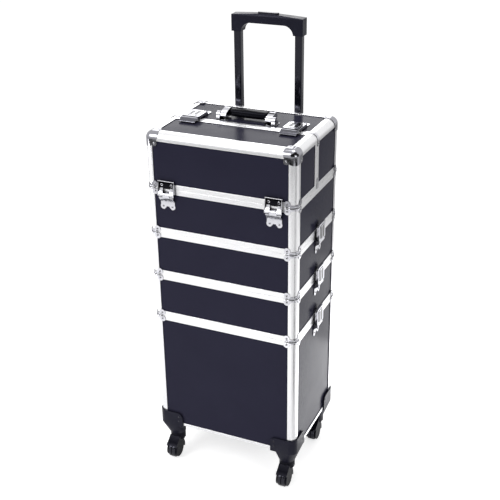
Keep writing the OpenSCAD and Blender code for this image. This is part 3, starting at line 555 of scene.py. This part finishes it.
# Sizes of rivets and screws: radius and height of the head
PLATE_RIVET = (2.3 * MM, 1.1 * MM)
CAP_RIVET = (2.5 * MM, 1.0 * MM)
PAN_RIVET = (3.8 * MM, 2.2 * MM)
STRAP_RIVET = (1.9 * MM, 0.9 * MM)
BRACKET_SCREW = (2.4 * MM, 0.9 * MM)
MOUNT_SCREW = (3.2 * MM, 1.4 * MM)


def rivets(name, body, places, size=PLATE_RIVET):
    """One piece with a blind rivet at every (face frame, x, y, z) place: a dome with a sunk stem, painted
    near black as shade.
    """
    radius, height = size
    stem = [(STEM_RADIUS_SHARE * radius, STEM_EDGE_SHARE * height), (0, STEM_MIDDLE_SHARE * height)]
    profile = dome(radius, height, RIVET_DOME_REACH) + stem
    bm = bmesh.new()
    for face, x, y, z in places:
        add_lathe(bm, face @ Matrix.Translation((x, y, z)), profile, dark_rings=2)
    piece = finish_mesh(name, bm, CHROME, body)
    piece.data.materials.append(STEM)


def screws(name, body, places, size, material):
    """One piece with a domed screw head at every place."""
    radius, height = size
    profile = dome(radius, height) + [(0, height)]
    bm = bmesh.new()
    for face, x, y, z in places:
        add_lathe(bm, face @ Matrix.Translation((x, y, z)), profile)
    finish_mesh(name, bm, material, body)


# Places of rivets and screws, from the sizes of the latches, hinges, caps and brackets
LATCH_Y = 7 * MM
TAIL_FOOT_X = 10.5 * MM
TAIL_FOOT_Y = -40 * MM
TAIL_TOP_Z = -0.3 * MM
HINGE_X = HALF_W - 48 * MM
PAN_RIVET_X = 11.5 * MM
PAN_RIVET_Y = 9 * MM
PAN_TOP_Z = 1.5 * MM
TOP_LATCH_X = HALF_W - 55 * MM
TOP_TAIL_Y = SPLIT_Y - MID_Y + 55 * MM
CAP_RIVET_IN = 19.75 * MM
CAP_RIVET_Z = 7.6 * MM
LOBE_IN = 22.5 * MM
CAP_FACE = 1.1 * MM
BRACKET_SCREW_IN = 49 * MM
BRACKET_SCREWS_UP = (12 * MM, 24 * MM)
BRACKET_FACE = 3.1 * MM
CARRY_RIVET_X = 48.5 * MM
CARRY_RIVET_Y = SPLIT_Y - MID_Y + 21.5 * MM
MOUNT_SCREW_X = 44 * MM
MOUNT_SCREW_IN = 13 * MM
MOUNT_FACE = 1.45 * MM


def corner_places(sx, sy, z, inset, height, lift):
    """One place on the front or rear face and one on the side face beside a corner."""
    end_face = front_face(z) if sy < 0 else rear_face(z)
    across = sx * (HALF_W - inset) * -sy
    along = sx * sy * (HALF_D - inset)
    return [(end_face, across, height, lift), (side_face(sx, z), along, height, lift)]


def cap_places(seam, up, ends):
    """Rivets on the lobes of the caps above (up 1) or below (up -1) a seam."""
    places = []
    for sx in SIDES:
        for sy in ends:
            places += corner_places(sx, sy, seam, CAP_RIVET_IN, up * CAP_RIVET_Z, CAP_FACE)
    return places


def ball_cap_places(sy):
    """Rivets on the lobes of the two ball corners at one end of the hood."""
    places = []
    for sx in SIDES:
        places += corner_places(sx, sy, HOOD_TOP, LOBE_IN, -LOBE_IN, CAP_FACE)
        places.append((top_face(), sx * (HALF_W - LOBE_IN), sy * (HALF_D - LOBE_IN), CAP_FACE))
    return places


def side_tail_places(seam):
    """Two places on the tail of each side latch below a seam."""
    return [(side_face(side, seam), side * LATCH_Y + s * TAIL_FOOT_X, TAIL_FOOT_Y, TAIL_TOP_Z)
            for side in SIDES for s in SIDES]


def hinge_places(x, y, z):
    """Two places beside the middle of each front hinge."""
    return [(front_face(SEAMS[3]), h * HINGE_X + s * x, y, z) for h in SIDES for s in SIDES]


# Each module's body, with the numbers of the seams at its lower and upper edge
MODULES = (("base", None, 0), ("tray_lower", 0, 1), ("tray_upper", 1, 2), ("top_case", 2, 3))
for body, seam_low, seam_high in MODULES:
    spots = cap_places(SEAMS[seam_high], -1, BOTH_ENDS)
    if seam_low is not None:
        spots += cap_places(SEAMS[seam_low], 1, BOTH_ENDS)
    rivets(body + "_cap_rivets", body, spots, CAP_RIVET)
    if body != "top_case":
        rivets(body + "_latch_rivets", body, side_tail_places(SEAMS[seam_high]))

hood_caps = cap_places(SEAMS[3], 1, REAR_END) + ball_cap_places(1)
rivets("rear_hood_cap_rivets", "top_case", hood_caps, CAP_RIVET)
flap_caps = cap_places(SEAMS[3], 1, FRONT_END) + ball_cap_places(-1)
rivets("front_flap_cap_rivets", "front_flap", flap_caps, CAP_RIVET)
rivets("hinge_tail_rivets", "top_case", hinge_places(TAIL_FOOT_X, TAIL_FOOT_Y, TAIL_TOP_Z))
rivets("hinge_pan_rivets", "front_flap", hinge_places(PAN_RIVET_X, PAN_RIVET_Y, PAN_TOP_Z), PAN_RIVET)
top_tails = [(top_face(), h * TOP_LATCH_X + s * TAIL_FOOT_X, TOP_TAIL_Y, TAIL_TOP_Z)
             for h in SIDES for s in SIDES]
rivets("top_latch_rivets", "top_case", top_tails)
carry_feet = [(top_face(), s * CARRY_RIVET_X, CARRY_RIVET_Y, TAIL_TOP_Z) for s in SIDES]
rivets("carry_bracket_rivets", "top_case", carry_feet)

bracket_spots = []
for sx in SIDES:
    for sy in BOTH_ENDS:
        for up in BRACKET_SCREWS_UP:
            bracket_spots += corner_places(sx, sy, base_low.z, BRACKET_SCREW_IN, up, BRACKET_FACE)
screws("caster_bracket_screws", "base", bracket_spots, BRACKET_SCREW, TUBE)
mount_low, mount_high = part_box("trolley_mounts")
mount_heights = (mount_low.z + MOUNT_SCREW_IN, mount_high.z - MOUNT_SCREW_IN)
mount_spots = [(rear_face(z), s * MOUNT_SCREW_X, 0, MOUNT_FACE) for z in mount_heights for s in SIDES]
screws("trolley_mount_screws", "base", mount_spots, MOUNT_SCREW, CHROME)


# Rolled rims of the seam caps, round the corners beside every seam
EDGE_ROUND = 14 * MM
RIM_RADIUS = 1.3 * MM
RIM_OUT = 0.8 * MM
RIM_FROM_SEAM = 2.1 * MM
RIM_STRAIGHT = 7 * MM
RIM_SIDES = 10


def add_rim(bm, sx, sy, z):
    """Adds a round bead along both faces and the rounding of one corner at a height."""
    middle = Vector((sx * (HALF_W - EDGE_ROUND), MID_Y + sy * (HALF_D - EDGE_ROUND), z))
    reach = EDGE_ROUND + RIM_OUT
    ways = [Vector((sx * math.sin(a), sy * math.cos(a), 0)) for a in QUARTER_TURN]
    path = [(middle + way * reach, way) for way in ways]
    path.insert(0, (path[0][0] - Vector((sx * RIM_STRAIGHT, 0, 0)), ways[0]))
    path.append((path[-1][0] - Vector((0, sy * RIM_STRAIGHT, 0)), ways[-1]))
    rings = []
    for point, way in path:
        offsets = [way * math.cos(a) + Vector((0, 0, math.sin(a))) for a in full_turn(RIM_SIDES)]
        rings.append([bm.verts.new(point + offset * RIM_RADIUS) for offset in offsets])
    add_skin(bm, rings)


def cap_rims(body, seams):
    """One piece with the rims of a body's caps, from (seam, up, ends) rows."""
    bm = bmesh.new()
    for seam, up, ends in seams:
        for sx in SIDES:
            for sy in ends:
                add_rim(bm, sx, sy, SEAMS[seam] + up * RIM_FROM_SEAM)
    finish_mesh(body + "_cap_rims", bm, CHROME, body)


cap_rims("base", [(0, -1, BOTH_ENDS)])
cap_rims("tray_lower", [(0, 1, BOTH_ENDS), (1, -1, BOTH_ENDS)])
cap_rims("tray_upper", [(1, 1, BOTH_ENDS), (2, -1, BOTH_ENDS)])
cap_rims("top_case", [(2, 1, BOTH_ENDS), (3, -1, BOTH_ENDS), (3, 1, REAR_END)])
cap_rims("front_flap", [(3, 1, FRONT_END)])


# Straps over the hood's front edge at the split: one round each top edge, one plate at each foot
STRAP_DOWN = 26 * MM
STRAP_SHEET = 1.1 * MM
STRAP_SINK = 0.3 * MM
STRAP_LOW = SPLIT_Y + 0.3 * MM
STRAP_HIGH = SPLIT_Y + 9.6 * MM
STRAP_MIDDLE = (STRAP_LOW + STRAP_HIGH) / 2
STRAP_EDGE = 0.3 * MM
STRAP_RIVET_IN = 21 * MM
FOOT_LOW = SEAMS[3] + 1 * MM
FOOT_HIGH = SEAMS[3] + 24 * MM
FOOT_RIVET_IN = 4 * MM


def strap_outline(side):
    """Points (x, z) up a side face, round the lid's edge and along its top, with the way out of each."""
    points = [(HALF_W, HOOD_TOP - STRAP_DOWN, 1, 0)]
    for angle in QUARTER_TURN:
        out_x = math.cos(angle)
        out_z = math.sin(angle)
        x = HALF_W - EDGE_ROUND * (1 - out_x)
        z = HOOD_TOP - EDGE_ROUND * (1 - out_z)
        points.append((x, z, out_x, out_z))
    points.append((HALF_W - STRAP_DOWN, HOOD_TOP, 0, 1))
    return [(side * x, z, side * out_x, out_z) for x, z, out_x, out_z in points]


def add_strap(bm, outline):
    """Adds a bent strip of sheet along an outline."""
    section = [(STRAP_LOW, -STRAP_SINK), (STRAP_HIGH, -STRAP_SINK),
               (STRAP_HIGH, STRAP_SHEET), (STRAP_LOW, STRAP_SHEET)]
    rings = []
    for x, z, out_x, out_z in outline:
        rings.append([bm.verts.new((x + out_x * lift, y, z + out_z * lift)) for y, lift in section])
    add_skin(bm, rings)


def split_straps():
    """One piece with all four straps, and one with their rivets."""
    bm = bmesh.new()
    places = []
    for side in SIDES:
        add_strap(bm, strap_outline(side))
        add_strap(bm, [(side * HALF_W, FOOT_LOW, side, 0), (side * HALF_W, FOOT_HIGH, side, 0)])
        along = side * (STRAP_MIDDLE - MID_Y)
        places.append((side_face(side, HOOD_TOP), along, -STRAP_RIVET_IN, STRAP_SHEET))
        places.append((side_face(side, FOOT_HIGH), along, -FOOT_RIVET_IN, STRAP_SHEET))
        places.append((top_face(), side * (HALF_W - STRAP_RIVET_IN), STRAP_MIDDLE - MID_Y, STRAP_SHEET))
    straps = finish_mesh("split_straps", bm, CHROME, "top_case")
    soften(straps, STRAP_EDGE, STRAP_EDGE_ANGLE)
    rivets("split_strap_rivets", "top_case", places, STRAP_RIVET)


split_straps()


# Soft carry grip: steps of its mesh, and the shares and powers that shape it
GRIP_STEPS_ALONG = 48
GRIP_STEPS_ROUND = 40
GRIP_END = 0.86
GRIP_END_POWER = 2.6
GRIP_END_LEAST = 0.55
GRIP_SWELL = 0.045
GRIP_SECTION_POWER = 2 / 3.2


def rounded(value):
    """A sine or cosine raised to a power, so that a circle turns into a rounded square."""
    return math.copysign(abs(value) ** GRIP_SECTION_POWER, value)


def padded_grip():
    """A lofted pad that swells towards its middle and draws in at its ends."""
    low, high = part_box("carry_grip")
    centre = (low + high) / 2
    half = (high - low) / 2
    bm = bmesh.new()
    rings = []
    for i in range(GRIP_STEPS_ALONG + 1):
        t = -1 + 2 * i / GRIP_STEPS_ALONG
        end = max(0.0, (abs(t) - GRIP_END) / (1 - GRIP_END))
        drawn_in = math.sqrt(max(0.0, 1 - end ** GRIP_END_POWER))
        swell = 1 - GRIP_SWELL + GRIP_SWELL * math.cos(t * math.pi)
        scale = max(drawn_in * swell, GRIP_END_LEAST)
        ring = []
        for a in full_turn(GRIP_STEPS_ROUND):
            y = rounded(math.cos(a)) * half.y * scale
            z = rounded(math.sin(a)) * half.z * scale
            ring.append(bm.verts.new(centre + Vector((t * half.x, y, z))))
        rings.append(ring)
    add_skin(bm, rings)
    grip = finish_mesh("carry_grip_pad", bm, GRIP_PAD, "carry_handle")
    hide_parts("carry_grip")


padded_grip()


# Studio
FLOOR_SIZE = (24, 24)
FLOOR_SHADE = 0.9
FLOOR_TO_CAMERA = 0.62
FLOOR_TO_MIRRORS = 0.24
WORLD_LIGHT = 0.45
WORLD_SEEN = 1.0
MATT_ROUGHNESS = 0.9


def plane(name, size, matrix, material):
    """A flat sheet of the studio that isn't part of the object."""
    bm = bmesh.new()
    shape = Matrix.Diagonal((*size, 1, 1))
    bmesh.ops.create_grid(bm, x_segments=1, y_segments=1, size=0.5, matrix=shape)
    mesh = bpy.data.meshes.new(name)
    bm.to_mesh(mesh)
    bm.free()
    mesh.materials.append(material)
    obj = bpy.data.objects.new(name, mesh)
    obj.matrix_world = matrix
    scene.collection.objects.link(obj)
    return obj


def matt_material(name, shade):
    """An even grey without gloss, and its tree and shader."""
    color = (shade, shade, shade)
    mat, tree, shader = new_material(name, color, metallic=0, roughness=MATT_ROUGHNESS)[:3]
    shader.inputs["Specular IOR Level"].default_value = 0
    return mat, tree, shader


def floor_material():
    """White floor that keeps the object's shadow, with a glow that only camera and reflections see."""
    mat, tree, shader = matt_material("white_floor", FLOOR_SHADE)
    shader.inputs["Emission Color"].default_value = (1, 1, 1, 1)
    path = tree.nodes.new("ShaderNodeLightPath")
    to_camera = math_node(tree, "MULTIPLY", path.outputs["Is Camera Ray"], FLOOR_TO_CAMERA)
    to_mirrors = math_node(tree, "MULTIPLY", path.outputs["Is Glossy Ray"], FLOOR_TO_MIRRORS)
    strongest = math_node(tree, "MAXIMUM", to_camera, to_mirrors)
    tree.links.new(strongest, shader.inputs["Emission Strength"])
    return mat


def white_world():
    """Even light that shows white to camera, glossy and transmission rays."""
    world = bpy.data.worlds.new("studio")
    scene.world = world
    world.use_nodes = True
    tree = world.node_tree
    path = tree.nodes.new("ShaderNodeLightPath")
    seen = math_node(tree, "MAXIMUM", path.outputs["Is Camera Ray"], path.outputs["Is Glossy Ray"])
    seen = math_node(tree, "MAXIMUM", seen, path.outputs["Is Transmission Ray"])
    background = tree.nodes["Background"]
    background.inputs["Color"].default_value = (1, 1, 1, 1)
    tree.links.new(mix_value(tree, seen, WORLD_LIGHT, WORLD_SEEN), background.inputs["Strength"])


def area_light(name, place, target, size, power, mirrored=True):
    """A lamp that the camera doesn't see, and that reflections see unless mirrored is off."""
    data = bpy.data.lights.new(name, "AREA")
    data.shape = "RECTANGLE"
    data.size, data.size_y = size
    data.energy = power
    obj = bpy.data.objects.new(name, data)
    obj.location = place
    obj.rotation_euler = (Vector(target) - Vector(place)).to_track_quat("-Z", "Y").to_euler()
    obj.visible_camera = False
    obj.visible_glossy = mirrored
    scene.collection.objects.link(obj)


def flag(name, place, target, size, shade, spin=0):
    """White, grey or dark card that only reflections see, turned in its plane by spin degrees."""
    towards = Vector(target) - Vector(place)
    aim = towards.to_track_quat("Z", "Y").to_matrix().to_4x4()
    turn = Matrix.Rotation(math.radians(spin), 4, "Z")
    card = plane(name, size, Matrix.Translation(place) @ aim @ turn, matt_material(name, shade)[0])
    card.visible_camera = False
    card.visible_diffuse = False
    card.visible_shadow = False


def point_over(place):
    """The point one metre over the floor at a place."""
    return (place[0], place[1], 1)


white_world()
plane("floor", FLOOR_SIZE, Matrix.Identity(4), floor_material())
CASE_MIDDLE = (0, MID_Y, 0.45)
HOOD_MIDDLE = (0, MID_Y, HOOD_TOP)
FRONT_WHEELS = (0, FRONT_Y, 0.03)
BASE_FRONT = (0, FRONT_Y, 0.22)
SIDE_GLOW = (0.48, 0.55, 0.004)
FOOT_GLOW = (0.34, 0.27, 0.006)
area_light("key_light", (-1.5, -2.4, 2.5), CASE_MIDDLE, size=(1.5, 1.5), power=38)
area_light("fill_light", (2.4, -1.2, 1.5), CASE_MIDDLE, size=(1.3, 1.3), power=15)
area_light("top_light", (0.2, 0.3, 3.0), CASE_MIDDLE, size=(1.4, 1.4), power=19)
area_light("sparkle", (-0.9, -1.2, 2.3), CASE_MIDDLE, size=(0.25, 0.25), power=2.5)
area_light("rear_glow", (-0.74, 1.65, 1.7), HOOD_MIDDLE, size=(1.1, 0.9), power=6)
area_light("side_glow", SIDE_GLOW, point_over(SIDE_GLOW), size=(0.5, 1.0), power=1.2)
area_light("foot_glow", FOOT_GLOW, point_over(FOOT_GLOW), size=(0.28, 0.5), power=0.7)
area_light("wheel_glint", (-1.3, -0.9, 0.3), FRONT_WHEELS, size=(0.14, 0.14), power=2.6)
area_light("front_low", (0, -0.85, 0.12), BASE_FRONT, size=(0.7, 0.2), power=0.9, mirrored=False)

# Cards that lie just over the floor, and cards that stand round the case
POST_CARD = (1.3, -0.65, 0.004)
FAR_FRONT_CARD = (0.1, -2.42, 0.008)
FAR_RIGHT_CARD = (2.35, -1.0, 0.010)
FAR_REAR_CARD = (1.05, 2.1, 0.008)
LINE_CARD = (1.3, -0.58, 0.006)
FRONT_MIDDLE = (0, MID_Y, 0.5)
HANDLE_MIDDLE = (0, MID_Y, 1.0)
flag("post_flag", POST_CARD, point_over(POST_CARD), size=(2.0, 1.5), shade=0.9)
flag("sky_flag", (2.0, -0.8, 2.3), HOOD_MIDDLE, size=(3.2, 2.6), shade=0.03)
flag("front_flag", (1.1, -2.5, 1.9), FRONT_MIDDLE, size=(4.0, 2.6), shade=0.02)
flag("far_front_flag", FAR_FRONT_CARD, point_over(FAR_FRONT_CARD), size=(5.0, 0.8), shade=0.01)
flag("far_right_flag", FAR_RIGHT_CARD, point_over(FAR_RIGHT_CARD), size=(0.8, 2.0), shade=0.01)
flag("far_rear_flag", FAR_REAR_CARD, point_over(FAR_REAR_CARD), size=(1.7, 1.6), shade=0.62)
flag("line_flag", LINE_CARD, point_over(LINE_CARD), size=(1.7, 0.2), shade=0.02, spin=-21)
flag("wall_flag", (2.7, 0.3, 1.3), HANDLE_MIDDLE, size=(2.4, 1.6), shade=0.03)

# Camera: place, sight line and roll fitted to the photograph's edges
CAMERA_PLACE = Vector((0.7938, MID_Y - 1.7513, 1.4500))
SIGHT_LINE = Vector((-0.36777, 0.82318, -0.432572))
CAMERA_ROLL = math.radians(0.749)
LENS = 68.4
SENSOR_WIDTH = 36

camera_data = bpy.data.cameras.new("camera")
camera_data.lens = LENS
camera_data.sensor_width = SENSOR_WIDTH
camera = bpy.data.objects.new("camera", camera_data)
camera_aim = SIGHT_LINE.to_track_quat("-Z", "Y").to_matrix().to_4x4()
camera_turn = Matrix.Rotation(-CAMERA_ROLL, 4, "Z")
camera.matrix_world = Matrix.Translation(CAMERA_PLACE) @ camera_aim @ camera_turn
scene.collection.objects.link(camera)
scene.camera = camera
scene.view_settings.view_transform = "Standard"
